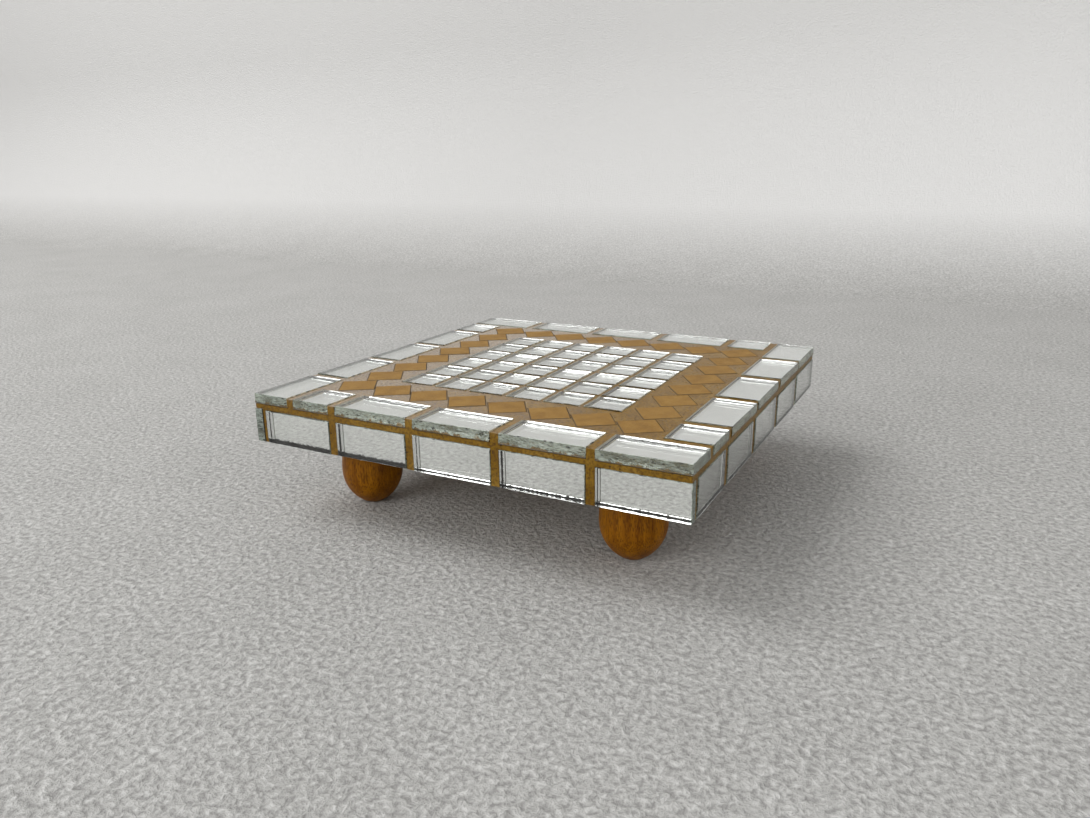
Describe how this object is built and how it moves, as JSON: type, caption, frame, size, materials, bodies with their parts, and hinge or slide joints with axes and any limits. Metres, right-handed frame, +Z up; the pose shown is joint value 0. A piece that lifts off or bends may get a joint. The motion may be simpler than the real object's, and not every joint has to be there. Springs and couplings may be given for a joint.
{
  "type": "mirror mosaic stand",
  "caption": "Square low stand clad in thick mirror tiles on its top and edges, with a ring of ochre diamond tiles round a grid of small mirrors, on turned wooden feet.",
  "frame": {"origin": "centre of the square footprint, on the surface that the feet stand on", "axes": "+X along the front edge to the right, +Y to the back, +Z up out of the tiled top"},
  "size_m": [0.144, 0.144, 0.04],
  "materials": {
    "mirror_glass": "polished",
    "diamond_tile": "matte",
    "grout": "matte",
    "board_wood": "satin",
    "foot_wood": "varnished",
    "dowel_wood": "plain",
    "adhesive": "matte"
  },
  "bodies": {
    "root": {"base_board": "board_wood", "border_mirror_back_1": "mirror_glass", "border_mirror_back_2": "mirror_glass", "border_mirror_back_3": "mirror_glass", "border_mirror_back_4": "mirror_glass", "border_mirror_back_5": "mirror_glass", "border_mirror_front_1": "mirror_glass", "border_mirror_front_2": "mirror_glass", "border_mirror_front_3": "mirror_glass", "border_mirror_front_4": "mirror_glass", "border_mirror_front_5": "mirror_glass", "border_mirror_left_1": "mirror_glass", "border_mirror_left_2": "mirror_glass", "border_mirror_left_3": "mirror_glass", "border_mirror_left_4": "mirror_glass", "border_mirror_left_5": "mirror_glass", "border_mirror_right_1": "mirror_glass", "border_mirror_right_2": "mirror_glass", "border_mirror_right_3": "mirror_glass", "border_mirror_right_4": "mirror_glass", "border_mirror_right_5": "mirror_glass", "centre_mirrors_row_1": "mirror_glass", "centre_mirrors_row_2": "mirror_glass", "centre_mirrors_row_3": "mirror_glass", "centre_mirrors_row_4": "mirror_glass", "centre_mirrors_row_5": "mirror_glass", "centre_mirrors_row_6": "mirror_glass", "diamonds_back": "diamond_tile", "diamonds_front": "diamond_tile", "diamonds_left": "diamond_tile", "diamonds_right": "diamond_tile", "edge_adhesive": "adhesive", "edge_mirror_back_1": "mirror_glass", "edge_mirror_back_2": "mirror_glass", "edge_mirror_back_3": "mirror_glass", "edge_mirror_back_4": "mirror_glass", "edge_mirror_back_5": "mirror_glass", "edge_mirror_front_1": "mirror_glass", "edge_mirror_front_2": "mirror_glass", "edge_mirror_front_3": "mirror_glass", "edge_mirror_front_4": "mirror_glass", "edge_mirror_front_5": "mirror_glass", "edge_mirror_left_1": "mirror_glass", "edge_mirror_left_2": "mirror_glass", "edge_mirror_left_3": "mirror_glass", "edge_mirror_left_4": "mirror_glass", "edge_mirror_left_5": "mirror_glass", "edge_mirror_right_1": "mirror_glass", "edge_mirror_right_2": "mirror_glass", "edge_mirror_right_3": "mirror_glass", "edge_mirror_right_4": "mirror_glass", "edge_mirror_right_5": "mirror_glass", "foot_back_left": "foot_wood", "foot_back_right": "foot_wood", "foot_dowels": "dowel_wood", "foot_front_left": "foot_wood", "foot_front_right": "foot_wood", "grout": "grout", "tile_adhesive": "adhesive"}
  },
  "joints": []
}
